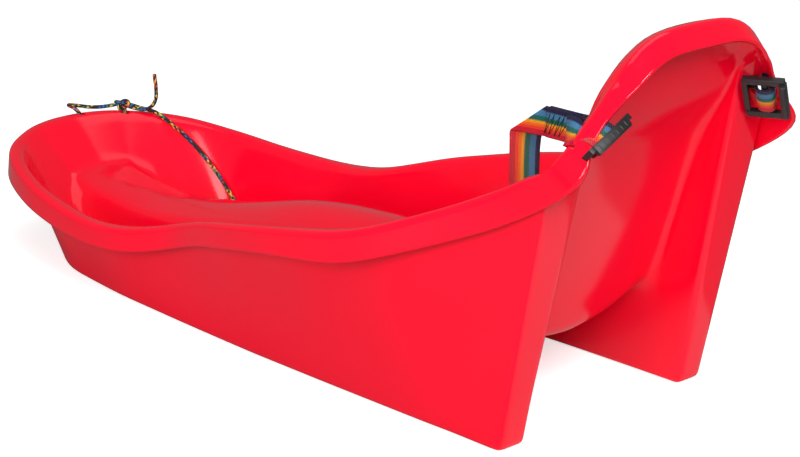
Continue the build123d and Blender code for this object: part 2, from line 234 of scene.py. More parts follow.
def tube(name, points, radius, closed=False):
    """A round tube along points."""
    stations = tube_stations(points, radius, closed)
    if not closed:
        stations = dome(stations[0], -1)[::-1] + stations + dome(stations[-1], 1)
    lengths = [station[4] for station in stations]
    shape = bmesh.new()
    uv = shape.loops.layers.uv.new("along")
    angles = [2 * math.pi * step / ROUND_STEPS for step in range(ROUND_STEPS)]
    rings = []
    for place, side, way, thick, _ in stations:
        up = way.cross(side)
        ring = [shape.verts.new(place + (side * math.cos(a) + up * math.sin(a)) * thick)
                for a in angles]
        rings.append(ring + ring[:1])
    if closed:
        rings.append(rings[0])
        lengths.append(lengths[-1] + (points[0] - points[-1]).length)
    quads(shape, uv, rings, [[(step / ROUND_STEPS, along) for step in range(ROUND_STEPS + 1)]
                             for along in lengths])
    if not closed:
        shape.faces.new(rings[0][-2::-1])
        shape.faces.new(rings[-1][:-1])
    return shape_object(name, shape)


def path_length(points):
    """Length of a line through points."""
    return sum((b - a).length for a, b in zip(points, points[1:]))


# %% [markdown]
# The knot is an overhand knot. Its strand runs like a trefoil: it goes twice
# round while it passes over and under itself three times.

# %% Knot
KNOT_AT = at(755.5, -61.5, 107.8)
KNOT_WAY = Vector((0.62, 0.76, 0.08)).normalized()     # the way the rope runs through it
KNOT_UP = Vector((-0.25, 0.1, 0.96))
KNOT_UNIT = 1.8 * MM                # a third of its half width
KNOT_DEEP = 2.25 * MM               # how far its strand goes over and under
KNOT_STRETCH = 1.42                 # how much longer than wide it is pulled
KNOT_STEPS = 90


def knot_points():
    """Points round the knot's closed line, drawn out along the rope."""
    across = KNOT_UP.cross(KNOT_WAY).normalized()
    up = KNOT_WAY.cross(across)
    points = []
    for step in range(KNOT_STEPS):
        turn = 2 * math.pi * step / KNOT_STEPS
        along = (math.sin(turn) + 2 * math.sin(2 * turn)) * KNOT_UNIT * KNOT_STRETCH
        aside = (math.cos(turn) - 2 * math.cos(2 * turn)) * KNOT_UNIT
        points.append(KNOT_AT + KNOT_WAY * along + up * aside
                      - across * math.sin(3 * turn) * KNOT_DEEP)
    return points


print("rope in the knot:", round(path_length(knot_points()) / MM), "mm")


# %% [markdown]
# ## Node helpers
# World, floor and finishes are all node trees. These helpers add a node with
# its settings and inputs in one line, so that each tree reads like a sum.

# %% Node helpers
def feed(tree, socket, value):
    """Link a socket to an input, or set the input's own value."""
    if isinstance(value, bpy.types.NodeSocket):
        tree.links.new(value, socket)
    else:
        socket.default_value = value


def node(tree, kind, inputs=None, **settings):
    """A node with its settings; inputs are sockets or values, by name or number."""
    made = tree.nodes.new(kind)
    for key, value in settings.items():
        setattr(made, key, value)
    for key, value in (inputs or {}).items():
        feed(tree, made.inputs[key], value)
    return made


def maths(tree, operation, *values):
    """The output of a Math node; its inputs are sockets or numbers."""
    inputs = dict(enumerate(values))
    return node(tree, "ShaderNodeMath", inputs, operation=operation).outputs[0]


def map_range(tree, value, source, target):
    """The output of a Map Range node between two pairs of numbers."""
    inputs = {"Value": value, "From Min": source[0], "From Max": source[1],
              "To Min": target[0], "To Max": target[1]}
    return node(tree, "ShaderNodeMapRange", inputs).outputs["Result"]


def mix_colour(tree, factor, first, second):
    """The output of a Mix node between two colours."""
    made = node(tree, "ShaderNodeMix", data_type="RGBA")
    for key, value in (("Factor", factor), ("A", first), ("B", second)):
        feed(tree, made.inputs[key], value)
    return made.outputs["Result"]


def camera_ray(tree):
    """One where the camera looks, zero in light and reflections."""
    return node(tree, "ShaderNodeLightPath").outputs["Is Camera Ray"]


def plain_material(name, **values):
    """A material with its tree and shader; values set the shader's sockets."""
    material = bpy.data.materials.new(name)
    material.use_nodes = True
    tree = material.node_tree
    shader = tree.nodes["Principled BSDF"]
    for key, value in values.items():
        feed(tree, shader.inputs[key.replace("_", " ")], value)
    return material, tree, shader


print("node helpers ready")

# %% [markdown]
# ## Light and floor
# Glossy plastic looks like what it mirrors. To the camera the studio is all
# white, but in reflections its surround is dim, so the panels stand out in
# the sled's skin. The view transform is Standard: it keeps a strong red as
# strong as it is.

# %% World
WHITE = (1.0, 1.0, 1.0, 1.0)
SURROUND = 0.2                      # strength that lights the sled and is mirrored in it
BACKDROP = 1.0                      # strength that the camera sees behind it

bpy.context.scene.view_settings.view_transform = "Standard"
world = bpy.data.worlds.new("studio")
world.use_nodes = True
world_tree = world.node_tree
background = world_tree.nodes["Background"]
background.inputs["Color"].default_value = WHITE
feed(world_tree, background.inputs["Strength"],
     map_range(world_tree, camera_ray(world_tree), (0.0, 1.0), (SURROUND, BACKDROP)))
bpy.context.scene.world = world
print("surround", SURROUND, "and backdrop", BACKDROP)

# %% [markdown]
# The floor is a pale sheet. In reflections it is bright only on an oval white
# card behind the sled, which lights the hollow back from below.

# %% Floor
FLOOR_HALF = 6.0
FLOOR_PAINT = (0.93, 0.93, 0.93, 1.0)       # to the camera
FLOOR_GLOW = 0.6                            # keeps the floor pale between the panels' light
CARD_PAINT = (0.72, 0.72, 0.72, 1.0)
ROUND_CARD = (0.25, 0.25, 0.25, 1.0)        # the mirrored floor round the card
CARD_AT = (-0.42, -0.04, 0.0)
CARD_HALF = (0.3, 0.165, 1.0)
CARD_EDGE = (0.97, 1.05)                    # where the card ends, as shares of its half size

floor_mesh = bpy.data.meshes.new("studio_floor")
floor_corners = [(x * FLOOR_HALF, y * FLOOR_HALF, 0) for x, y in ((-1, -1), (1, -1), (1, 1), (-1, 1))]
floor_mesh.from_pydata(floor_corners, [], [(0, 1, 2, 3)])
floor = link_object("studio_floor", floor_mesh)
floor_paint, floor_tree, floor_shader = plain_material(
    "floor_paint", Roughness=0.8, Emission_Color=WHITE)
floor_place = node(floor_tree, "ShaderNodeTexCoord").outputs["Object"]
oval = node(floor_tree, "ShaderNodeMapping", vector_type="TEXTURE")
for key, value in (("Vector", floor_place), ("Location", CARD_AT), ("Scale", CARD_HALF)):
    feed(floor_tree, oval.inputs[key], value)
reach = node(floor_tree, "ShaderNodeVectorMath", {0: oval.outputs["Vector"]}, operation="LENGTH")
past_card = map_range(floor_tree, reach.outputs["Value"], CARD_EDGE, (0.0, 1.0))
mirrored_floor = mix_colour(floor_tree, past_card, CARD_PAINT, ROUND_CARD)
seen = camera_ray(floor_tree)
feed(floor_tree, floor_shader.inputs["Base Color"],
     mix_colour(floor_tree, seen, mirrored_floor, FLOOR_PAINT))
feed(floor_tree, floor_shader.inputs["Emission Strength"],
     maths(floor_tree, "MULTIPLY", seen, FLOOR_GLOW))
floor_mesh.materials.append(floor_paint)
print("floor:", 2 * FLOOR_HALF, "m wide")

# %% [markdown]
# Three soft panels light the sled. One from above draws the highlights along
# the rim, one from behind lights the legs and the back recess, and a wide one
# from the left lights the long side.

# %% Lights
def panel_light(name, place, target, wide, high, power):
    """A soft rectangular lamp that faces its target."""
    data = bpy.data.lights.new(name, "AREA")
    data.shape = "RECTANGLE"
    data.size = wide
    data.size_y = high
    data.energy = power
    lamp = link_object(name, data)
    lamp.location = place
    lamp.rotation_euler = (Vector(target) - Vector(place)).to_track_quat("-Z", "Y").to_euler()
    print(name, "gives", power, "W")


panel_light("top_panel", (0.2, 0.0, 2.2), (0.0, 0.0, 0.2), 2.4, 1.6, 13.0)
panel_light("rear_panel", (-1.9, 0.6, 1.5), (0.0, 0.0, 0.2), 1.0, 1.0, 36.0)
panel_light("side_panel", (-0.9, 2.3, 0.9), (0.0, 0.0, 0.1), 2.2, 1.2, 50.0)

# %% [markdown]
# ## Moulded surface
# The hull and the sliders are both moulded, so what they share is a node
# group that is built once: slow waves in the surface with fine grain on it.
# The group gives heights and values only; each material has its own shader.

# %% Moulded surface
def group_tree(name, inputs, outputs):
    """A node group of plain values, with its input and output nodes."""
    tree = bpy.data.node_groups.new(name, "ShaderNodeTree")
    for key, value in inputs:
        socket = tree.interface.new_socket(key, in_out="INPUT", socket_type="NodeSocketFloat")
        socket.default_value = value
    for key in outputs:
        tree.interface.new_socket(key, in_out="OUTPUT", socket_type="NodeSocketFloat")
    return tree, node(tree, "NodeGroupInput"), node(tree, "NodeGroupOutput")


def moulded_surface_group():
    """Heights of a moulded surface, and its slow waves by themselves as a drift."""
    tree, inside, outside = group_tree(
        "moulded_surface", (("Wave Size", 9.0), ("Grain Size", 900.0), ("Grain Share", 0.15)),
        ("Height", "Drift"))
    place = node(tree, "ShaderNodeTexCoord").outputs["Object"]
    waves, grain = (
        node(tree, "ShaderNodeTexNoise",
             {"Vector": place, "Scale": inside.outputs[size], "Detail": detail}).outputs["Fac"]
        for size, detail in (("Wave Size", 1.0), ("Grain Size", 3.0)))
    fine = maths(tree, "MULTIPLY", grain, inside.outputs["Grain Share"])
    feed(tree, outside.inputs["Height"], maths(tree, "ADD", waves, fine))
    feed(tree, outside.inputs["Drift"], waves)
    return tree


moulded_surface = moulded_surface_group()
print("group", moulded_surface.name, "with", len(moulded_surface.nodes), "nodes")

# %% [markdown]
# ## Moulded plastics
# The hull is polyethylene with colour right through it: saturated and
# glossy. Slow waves from the forming bend its highlights a little, and its
# gloss differs from place to place where it has been handled. The sliders
# are a harder plastic with a finer, duller grain.

# %% Moulded plastics
DRIFT_RANGE = (0.3, 0.7)            # nearly all values of the drift


def bumped(tree, shader, height, distance, strength=1.0):
    """Give a shader bumps from a height."""
    bump = node(tree, "ShaderNodeBump", {"Height": height, "Distance": distance, "Strength": strength})
    feed(tree, shader.inputs["Normal"], bump.outputs["Normal"])


def add_moulding(tree, shader, values, strength, distance, gloss):
    """Waves and grain for a moulded finish, and the range of its roughness; gives the drift."""
    surface = node(tree, "ShaderNodeGroup", node_tree=moulded_surface)
    for name, value in values.items():
        surface.inputs[name].default_value = value
    drift = surface.outputs["Drift"]
    bumped(tree, shader, surface.outputs["Height"], distance, strength)
    feed(tree, shader.inputs["Roughness"], map_range(tree, drift, DRIFT_RANGE, gloss))
    return drift


red_plastic, red_tree, red_shader = plain_material(
    "red_plastic_gloss", IOR=1.45, Subsurface_Weight=0.06,
    Subsurface_Radius=(0.006, 0.001, 0.001), Subsurface_Scale=0.5)
red_drift = add_moulding(red_tree, red_shader,
                         {"Wave Size": 7.0, "Grain Size": 700.0, "Grain Share": 0.02},
                         0.25, 0.004, (0.07, 0.15))
red_colour = mix_colour(red_tree, red_drift, (0.93, 0.0008, 0.019, 1.0), (0.98, 0.002, 0.030, 1.0))
feed(red_tree, red_shader.inputs["Base Color"], red_colour)

black_plastic, black_tree, black_shader = plain_material(
    "black_plastic_moulded", Base_Color=(0.012, 0.011, 0.012, 1.0))
add_moulding(black_tree, black_shader,
             {"Wave Size": 60.0, "Grain Size": 2500.0, "Grain Share": 0.5},
             0.3, 0.0004, (0.28, 0.42))
print("plastics:", red_plastic.name, "and", black_plastic.name)

# %% [markdown]
# ## Woven webbing and braided rope
# Both textiles are patterns on a UV map that counts across and along the
# piece, so a node group can turn that map into rows of yarns. The webbing
# has lengthwise stripes; its reverse side shows a dot wherever a light weft
# yarn crosses them. The rope is black with a few coloured yarns in its braid.

# %% Pattern groups
def across_and_along(tree):
    """The two counts of the piece's UV map."""
    counts = node(tree, "ShaderNodeUVMap", uv_map="along").outputs["UV"]
    split = node(tree, "ShaderNodeSeparateXYZ", {0: counts})
    return split.outputs["X"], split.outputs["Y"]


def hill(tree, value):
    """Round hills, one for each whole step of a value."""
    return maths(tree, "ABSOLUTE", maths(tree, "SINE", maths(tree, "MULTIPLY", value, math.pi)))


def weave_group():
    """Yarns of flat webbing: height of the cloth, and a mask of its weft dots."""
    tree, inside, outside = group_tree(
        "weave", (("Yarns Across", 22.0), ("Yarns Per Metre", 620.0)), ("Height", "Dots"))
    across, along = across_and_along(tree)
    warp = maths(tree, "MULTIPLY", across, inside.outputs["Yarns Across"])
    weft = maths(tree, "MULTIPLY", along, inside.outputs["Yarns Per Metre"])
    rib = hill(tree, maths(tree, "MULTIPLY_ADD", maths(tree, "FLOOR", warp), 0.5, weft))
    yarn = hill(tree, warp)
    feed(tree, outside.inputs["Height"], maths(tree, "MULTIPLY", rib, yarn))
    dots = maths(tree, "MULTIPLY", maths(tree, "SUBTRACT", 1.0, rib), yarn)
    feed(tree, outside.inputs["Dots"], maths(tree, "GREATER_THAN", dots, 0.62))
    return tree


def braid_group():
    """Yarns of a round braid: their height, and the number of the one on top."""
    tree, inside, outside = group_tree(
        "braid", (("Yarns", 5.0), ("Turns Per Metre", 48.0)), ("Height", "Number"))
    around, along = across_and_along(tree)
    wound = maths(tree, "MULTIPLY", along, inside.outputs["Turns Per Metre"])
    right, left = (maths(tree, "MULTIPLY", maths(tree, way, around, wound), inside.outputs["Yarns"])
                   for way in ("ADD", "SUBTRACT"))
    right_yarn, left_yarn = maths(tree, "FLOOR", right), maths(tree, "FLOOR", left)
    over = maths(tree, "PINGPONG", maths(tree, "ADD", right_yarn, left_yarn), 1.0)
    feed(tree, outside.inputs["Height"], maths(tree, "MULTIPLY", hill(tree, right), hill(tree, left)))
    other = maths(tree, "MULTIPLY", left_yarn, maths(tree, "SUBTRACT", 1.0, over))
    number = maths(tree, "MULTIPLY_ADD", right_yarn, over, maths(tree, "MULTIPLY_ADD", over, 0.5, other))
    feed(tree, outside.inputs["Number"], number)
    return tree


weave = weave_group()
braid_yarns = braid_group()
print("pattern groups:", weave.name, "and", braid_yarns.name)

# %% [markdown]
# Dyed yarns have hard borders, so a colour ramp with constant steps gives
# the stripes, and a little of the weave's height makes their edges ragged.

# %% Webbing
STRIPES = [
    (0.0, (0.62, 0.006, 0.025)), (0.2, (0.85, 0.045, 0.015)), (0.31, (0.9, 0.14, 0.008)),
    (0.4, (0.86, 0.34, 0.012)), (0.5, (0.004, 0.13, 0.09)), (0.66, (0.05, 0.2, 0.38)),
    (0.86, (0.008, 0.006, 0.045)),
]


def banded(tree, place, bands):
    """The colour at a place on a ramp with hard steps."""
    ramp = node(tree, "ShaderNodeValToRGB", {"Fac": place})
    ramp.color_ramp.interpolation = "CONSTANT"
    while len(ramp.color_ramp.elements) < len(bands):
        ramp.color_ramp.elements.new(0.5)
    for element, (start, colour) in zip(ramp.color_ramp.elements, bands):
        element.position = start
        element.color = (*colour, 1.0)
    return ramp.outputs["Color"]


def striped_webbing(name, dot_share):
    """Rainbow stripes on a weave; a share of the weft dots shows over them."""
    material, tree, shader = plain_material(
        name, Roughness=0.7, Specular_IOR_Level=0.2, Sheen_Weight=0.04)
    yarns = node(tree, "ShaderNodeGroup", node_tree=weave)
    across, _ = across_and_along(tree)
    ragged = maths(tree, "MULTIPLY_ADD", yarns.outputs["Height"], 0.03, across)
    dots = maths(tree, "MULTIPLY", yarns.outputs["Dots"], dot_share)
    dotted = mix_colour(tree, dots, banded(tree, ragged, STRIPES), (0.62, 0.55, 0.42, 1.0))
    feed(tree, shader.inputs["Base Color"], dotted)
    bumped(tree, shader, yarns.outputs["Height"], 0.0006)
    return material


webbing_face = striped_webbing("webbing_rainbow", 0.05)
webbing_back = striped_webbing("webbing_rainbow_reverse", 0.55)
print("webbing:", webbing_face.name, "and", webbing_back.name)

# %% [markdown]
# A white noise of each yarn's number picks its colour, so most of the braid
# is black and a few flecks of other yarns come up in it. The stitching is
# plain black thread with a fine twist.

# %% Rope and thread
YARN_COLOURS = [
    (0.0, (0.004, 0.004, 0.006)), (0.6, (0.8, 0.5, 0.05)), (0.72, (0.03, 0.13, 0.45)),
    (0.82, (0.5, 0.03, 0.03)), (0.88, (0.01, 0.22, 0.12)), (0.93, (0.7, 0.2, 0.02)),
]

braid, braid_tree, braid_shader = plain_material("rope_braid", Roughness=0.62, Sheen_Weight=0.05)
braid_rows = node(braid_tree, "ShaderNodeGroup", node_tree=braid_yarns)
braid_choice = node(braid_tree, "ShaderNodeTexWhiteNoise", noise_dimensions="1D")
feed(braid_tree, braid_choice.inputs["W"], braid_rows.outputs["Number"])
feed(braid_tree, braid_shader.inputs["Base Color"],
     banded(braid_tree, braid_choice.outputs["Value"], YARN_COLOURS))
bumped(braid_tree, braid_shader, braid_rows.outputs["Height"], 0.0006)

stitching, stitch_tree, stitch_shader = plain_material(
    "stitching_thread", Roughness=0.55, Base_Color=(0.008, 0.008, 0.012, 1.0))
stitch_place = node(stitch_tree, "ShaderNodeTexCoord").outputs["Object"]
stitch_twist = node(stitch_tree, "ShaderNodeTexNoise",
                    {"Vector": stitch_place, "Scale": 2500.0, "Detail": 2.0})
bumped(stitch_tree, stitch_shader, stitch_twist.outputs["Fac"], 0.0002)
print("rope and thread:", braid.name, "and", stitching.name)

# %% [markdown]
# ## Hull: a cage for subdivision
# The real hull is one sheet of polyethylene, 3.2 mm thick, that is formed
# over a mould: it has no sharp edge anywhere. A subdivision surface suits
# this. A coarse cage of quads gives the shape, rows of quads that lie close
# together make a tight bend, and rows far apart make a soft one. Only the
# left half of the outer skin is written down: a Mirror modifier makes the
# other half and a Solidify modifier the thickness.
#
# Every row follows the lines of the moulding, in millimetres: the fold of
# the rim, the line where the wall meets the ground, the line where it meets
# the rim, and the sections of the tunnel between the runners.

# %% Lines of the hull
WALL = 3.2
# Outer top edge of the rim in three stretches, one point for each column of
# the cage: (station, half width, height). Over the arch, from its middle:
ARCH_RIM = [
    (-94, 0, 345), (-92.8, 42, 343), (-89.3, 70, 328.5), (-86.6, 81, 314), (-85.4, 86.5, 309),
    (-84.2, 91.5, 303), (-83, 95.5, 297.5), (-81.4, 101.5, 290), (-79.2, 110, 280),
    (-75.5, 119.5, 268), (-67, 127.6, 255),
]
# ... along the side, from the shoulder:
SIDE_RIM = [
    (-38, 130.5, 236), (0, 137.5, 214.5), (36, 146.5, 198), (73, 159, 182), (105, 170, 170),
    (140, 176, 161), (185, 176, 152), (222, 174.5, 145), (260, 170, 137), (298, 163.5, 128),
    (336, 156, 119), (380, 148, 105), (420, 150, 92), (462, 156, 83), (504, 156, 79),
    (546, 153, 79), (588, 147, 81), (630, 140, 85),
]
# ... and round the bow.
BOW_RIM = [
    (671, 128, 90), (701, 116, 94), (728, 99, 97), (745, 80, 99.3), (758.5, 59, 101.5),
    (765, 43, 102.8), (771, 22, 103.7), (773, 0, 104),
]
# Where the wall meets the ground, bow to stern: (station, half width) ...
FOOT = [
    (665, 0), (663, 30), (656, 62), (645, 85), (628, 104), (600, 116),
    (560, 122), (500, 127), (400, 130), (300, 131), (200, 129), (100, 126),
    (40, 124),
]
# ... and where it meets the rim, row by row: (station, half width, height).
HEAD = [
    (761, 0, 100), (753, 45, 100), (735, 78, 97), (712, 98, 94),
    (675, 116, 89), (630, 129, 84), (575, 138, 80), (504, 145, 78),
    (400, 136, 98), (300, 153, 128), (200, 165, 149), (100, 158, 171),
    (40, 141, 195),
]
# Tunnel: (station, half width at the ground, at the shoulder, shoulder
# height, crown height).
TUNNEL = [
    (-150, 94, 91, 92, 53), (-20, 94, 91, 92, 53), (70, 93, 89, 89, 54),
    (130, 91, 86, 87, 62), (175, 88, 80, 86, 80), (215, 84, 72, 88, 98),
    (260, 80, 62, 88, 105), (320, 74, 54, 86, 105), (380, 68, 48, 78, 96),
    (440, 62, 44, 66, 80), (520, 56, 40, 52, 62), (600, 51, 37, 43, 52),
    (680, 48, 34, 42, 50),
]
# Front skin of the back panel: (height, station). It leans back more above a crease.
CREASE = 235.0
PANEL = [(50, 37), (CREASE, -26.8), (276, -61), (300, -65), (345, -63)]
# Under side of the arch seen from behind: (half width, height).
ARCH = [(0, 337), (40, 333), (60, 322), (72, 306), (81, 295), (90, 284), (102, 270),
        (112, 257), (119, 247)]
print("rim:", len(ARCH_RIM + SIDE_RIM + BOW_RIM), "points on each side")

# %% [markdown]
# The rows of the tables are joined by straight lines. The smoothing rounds
# them later, so nothing finer is needed.

# %% Reading the lines
def read(table, place):
    """Straight-line reading of a table at a row number that may be a fraction."""
    place = min(max(place, 0.0), len(table) - 1.0)
    row = min(int(place), len(table) - 2)
    share = place - row
    return [a + (b - a) * share for a, b in zip(table[row], table[row + 1])]


def row_at(table, value, column=0):
    """The fractional row where a column of a table passes a value."""
    for row in range(len(table) - 1):
        a, b = table[row][column], table[row + 1][column]
        if min(a, b) <= value <= max(a, b):
            return row + (value - a) / (b - a)
    nearest = min((0, len(table) - 1), key=lambda row: abs(table[row][column] - value))
    return float(nearest)


def look_up(table, value, column=1):
    """What a table's column says where its first column passes a value."""
    return read(table, row_at(table, value))[column]


def mix(a, b, share):
    """A number between two others."""
    return a + (b - a) * share


def rear_face(height):
    """Station of the runners' rear face."""
    return -8.4 - 0.213 * height


def outer_half(height):
    """Half width over the outer sides of the rear legs."""
    return 123.4 + 0.018 * height


def inner_half(height):
    """Half width between the rear legs."""
    return 93.0 if height < 50 else 92.0 - 13.0 * (height - 50) / 290


def panel_station(height):
    """Front skin of the leaning back panel."""
    return look_up(PANEL, height)


print("rear face leans from", rear_face(0), "to", round(rear_face(345), 1))


# %% [markdown]
# Each upright column of the cage has eight levels, from the ground to the
# rim. Level 3 is the height of the seat and of the knee hump's shoulders,
# where the inner side of the runner turns into the top of the tunnel.

# %% Columns along the outer wall
LEVELS = 8
FLOOR_BEND = 6.5                    # height of the row that keeps the bend at the floor tight
RIM_BEND = 9.0                      # depth of the row that keeps the bend at the rim tight
CORNER_ROW = 9.0                    # the first column lies close to the heel's corner
SIDE_GROUND = {36: 50, 0: 27}       # rim station -> ground station near the heel
LEG_STATION = 40.0                  # the wall's own lines begin ahead of it
LEG_FLAT = 22.0                     # how far ahead of the heel the leg's side stays flat
WIDENING = 1.3                      # over 1 makes the widening ahead of it start gently
SEAT_LEVEL = [(-80, 88), (73, 84), (185, 72), (336, 60), (504, 42), (630, 44), (773, 46)]


def level_heights(seat, top):
    """Heights of a column's levels, from the height of its seat and of its top."""
    return [0, FLOOR_BEND, seat * 0.5, seat,
            mix(seat, top, 0.28), mix(seat, top, 0.64), top - RIM_BEND, top]


def wall_half(height):
    """Half width over the wall at LEG_STATION."""
    return 124 + 17 * height / 195


def leg_point(station, top, height):
    """A point of the wall beside the rear leg, which widens toward the wall ahead of it."""
    here = rear_face(height) + CORNER_ROW
    if station in SIDE_GROUND:
        here = mix(SIDE_GROUND[station], station, height / top)
    flat = rear_face(height) + LEG_FLAT
    share = min(max(0.0, (here - flat) / (LEG_STATION - flat)), 1.0)
    return (here, mix(outer_half(height), wall_half(height), share ** WIDENING), height)


def wall_point(place, height):
    """A point of the wall on the ruling between FOOT and HEAD."""
    foot = read(FOOT, place)
    head = read(HEAD, place)
    share = height / head[2]
    return (mix(foot[0], head[0], share), mix(foot[1], head[1], share), height)


def outer_column(rim_point):
    """Wall points under one rim point, ground first."""
    station, half, height = rim_point
    top = height - WALL
    heights = level_heights(look_up(SEAT_LEVEL, station), top)
    if station < LEG_STATION:
        return [leg_point(station, top, z) for z in heights]
    place = min((n * 0.02 for n in range(601)),
                key=lambda n: math.dist(read(HEAD, n)[:2], (station, half)))
    return [wall_point(place, z) for z in heights]


outer = [outer_column(rim_point) for rim_point in SIDE_RIM]
print("columns along one side:", len(outer))

# %% [markdown]
# The runner's inner side follows the tunnel. Its columns face the outer ones
# across the foot well's floor, so the floor is a plain grid between them.
# Behind the back panel the same side goes on up as the inside of the leg.

# %% Columns along the tunnel and the legs
INNER_STATIONS = [2, 20, 40, 54, 88, 130, 180, 220, 260, 298, 336, 380, 420, 462, 500, 540,
                  580, 612]
PANEL_COLUMN = 2                    # the column where the back panel meets the leg
LEG_TOP = 294.0
LEG_MIDDLE = 0.68                   # place of the row between the crease and the leg's top
REAR_SUPPORT = 10                   # from the rear face to the row that keeps its bend tight
PANEL_SKIN = 3                      # from the panel to where it meets the runner's side
SEAT_BEND = 18.0                    # height above the seat of the row that keeps its bend tight


def tunnel_section(station):
    """Half width at the ground and at the shoulder, shoulder height and crown height."""
    return read(TUNNEL, row_at(TUNNEL, station))[1:]


def inner_column(number, station):
    """Points of the runner's inner side and, behind the panel, of the leg's."""
    foot, shoulder, high, _ = tunnel_section(station)
    points = []
    for z in (0, FLOOR_BEND, high * 0.5, high):
        s = station
        if number <= PANEL_COLUMN:
            rear = rear_face(z)
            front = panel_station(max(z, PANEL[0][0])) + PANEL_SKIN
            s = mix(rear, front, (REAR_SUPPORT / (front - rear), 0.5, 1.0)[number])
        points.append((s, mix(foot, shoulder, z / high), z))
    if number <= PANEL_COLUMN:
        for z in (high + SEAT_BEND, CREASE, mix(CREASE, LEG_TOP, LEG_MIDDLE), LEG_TOP):
            rear = rear_face(z)
            front = panel_station(z)
            s = mix(rear, front, (min(REAR_SUPPORT / (front - rear), 0.4), 0.65, 1.0)[number])
            points.append((s, inner_half(z), z))
    return points


inner = [inner_column(number, station) for number, station in enumerate(INNER_STATIONS)]
print("columns along the tunnel:", len(inner))

# %% [markdown]
# Each leg's rear face closes the runner behind: five columns from the
# rounded outer corner to the rounded inner one. Their tops follow the arch.

# %% Rear face of the leg
# How far across the face each column stands, at the ground and at its top.
REAR_SHARES = [(0.0, 0.0), (0.3, 0.2), (0.58, 0.5), (0.8, 0.78), (1.0, 1.0)]
CORNER_INSETS = {0: (-0.6, 0.6), 4: (0.8, 0.8)}     # (sideways, forward), to round two corners
REAR_SEAT = (88, 92)                # seat level at the outer and at the inner corner
FIRST_TOP = 247.0
TOP_ROUNDS = 8                      # enough for a column's top to settle on the arch


def arch_height(half):
    """Height of the arch's under side."""
    return look_up(ARCH, half)


def rear_column(number):
    """One of the five columns across the rear face, outer corner first."""
    low, high = REAR_SHARES[number]
    aside, forward = CORNER_INSETS.get(number, (0.0, 0.0))
    top = FIRST_TOP
    for _ in range(TOP_ROUNDS):
        top = arch_height(mix(outer_half(top), inner_half(top), high))
    seat = mix(*REAR_SEAT, number / 4)
    points = []
    for z in level_heights(seat, top):
        half = mix(outer_half(z), inner_half(z), mix(low, high, z / top))
        points.append((rear_face(z) + forward, half + aside, z))
    return points


rear = [rear_column(number) for number in range(len(REAR_SHARES))]
print("tops across the rear face:", [round(column[-1][2]) for column in rear])

# %% [markdown]
# The bow is closed by the same wall, bent round. Its first five columns end
# the foot well; the last three are over the tunnel, so they have no levels
# below the seat.

# %% Bow
# Rows of FOOT and HEAD that each column stands on, at the ground and at the
# rim; over the tunnel also the height of its lowest level.
BOW_PLACES = [(4.15, 4.15), (3.45, 3.45), (2.75, 2.75), (2.2, 2.1), (1.58, 1.5)]
TUNNEL_PLACES = [(0.85, 1.1, 48.0), (0.45, 0.55, 51.0), (0.0, 0.0, 52.0)]
TOE_COLUMN = 4                      # the column in the front corner of the foot well
TOE_CORNER = (1.58, 1.55, 1.32, 1.06, 1.16, 1.34, 1.46, 1.5)    # its places, level by level


def bow_column(number):
    """Points of one column round the bow, ground first; None where there is no wall."""
    top = BOW_RIM[number][2] - WALL
    first = 0
    if number > TOE_COLUMN:
        low, high, seat = TUNNEL_PLACES[number - TOE_COLUMN - 1]
        first = 3
    else:
        low, high = BOW_PLACES[number]
        seat = 44.0 if number == TOE_COLUMN else 45.0
    points = []
    for level, z in enumerate(level_heights(seat, top)):
        place = mix(low, high, level / (LEVELS - 1))
        if number == TOE_COLUMN:
            place = TOE_CORNER[level]
        points.append(wall_point(place, z))
    return [None] * first + points[first:]


bow = [bow_column(number) for number in range(len(BOW_RIM))]
print("columns round the bow:", len(bow))

# %% [markdown]
# With its columns in place, the cage is put together from grids that share
# their edges: two sides and two ends of each runner, its floor, the top of
# the tunnel with seat and hump, the back panel, and the rim.

# %% Grids
cage = bmesh.new()
corners = {}


def corner(point):
    """The cage's vertex at a point in millimetres, made once."""
    key = tuple(round(value, 2) for value in point)
    if key not in corners:
        corners[key] = cage.verts.new(at(*point))
    return corners[key]


def grid(rows):
    """Quads between neighbouring rows of points; None leaves a hole."""
    for row, following in zip(rows, rows[1:]):
        for a, b, c, d in zip(row, row[1:], following[1:], following):
            if None in (a, b, c, d):
                continue
            quad = []
            for point in (a, b, c, d):
                vertex = corner(point)
                if vertex not in quad:
                    quad.append(vertex)
            if len(quad) > 2 and cage.faces.get(quad) is None:
                cage.faces.new(quad)


def between(a, b, share):
    """A point between two others."""
    return tuple(mix(p, q, share) for p, q in zip(a, b))


SMOOTHING = 6                       # smoothing cuts a corner by this part of its bend


def pushed_out(points):
    """Points moved out against the cut that smoothing makes at all but the two ends."""
    moved = list(points)
    for n in range(1, len(points) - 1):
        before, here, after = (Vector(p) for p in points[n - 1:n + 2])
        moved[n] = tuple(here + (here * 2 - before - after) / SMOOTHING)
    return moved


print("points on each level's line:", [sum(1 for column in outer + bow if column[level])
                                       for level in range(LEVELS)])

# %% [markdown]
# Smoothing pulls a bent row of corners inward. Each level of the wall is
# pushed out by as much first, so the smooth skin passes through its lines.

# %% Walls
for level in range(LEVELS):
    columns = [column for column in outer + bow if column[level]]
    chain = [column[level] for column in columns]
    for column, point in zip(columns, pushed_out(chain)):
        column[level] = (point[0], point[1], column[level][2])
grid([rear[0]] + outer + bow)                       # upright columns, stern to bow
low_inner = [rear[4]] + inner + [bow[TOE_COLUMN]]
grid([column[:4] for column in low_inner])
grid([column[3:] for column in [rear[4]] + inner[:PANEL_COLUMN + 1]])
grid(rear)
print("walls:", len(cage.faces), "quads")

# %% [markdown]
# The floor has two rows close to its walls and one in the middle. The top of
# the tunnel goes from the shoulder to the middle of the sled; its first row
# is where the back panel stands on the seat.

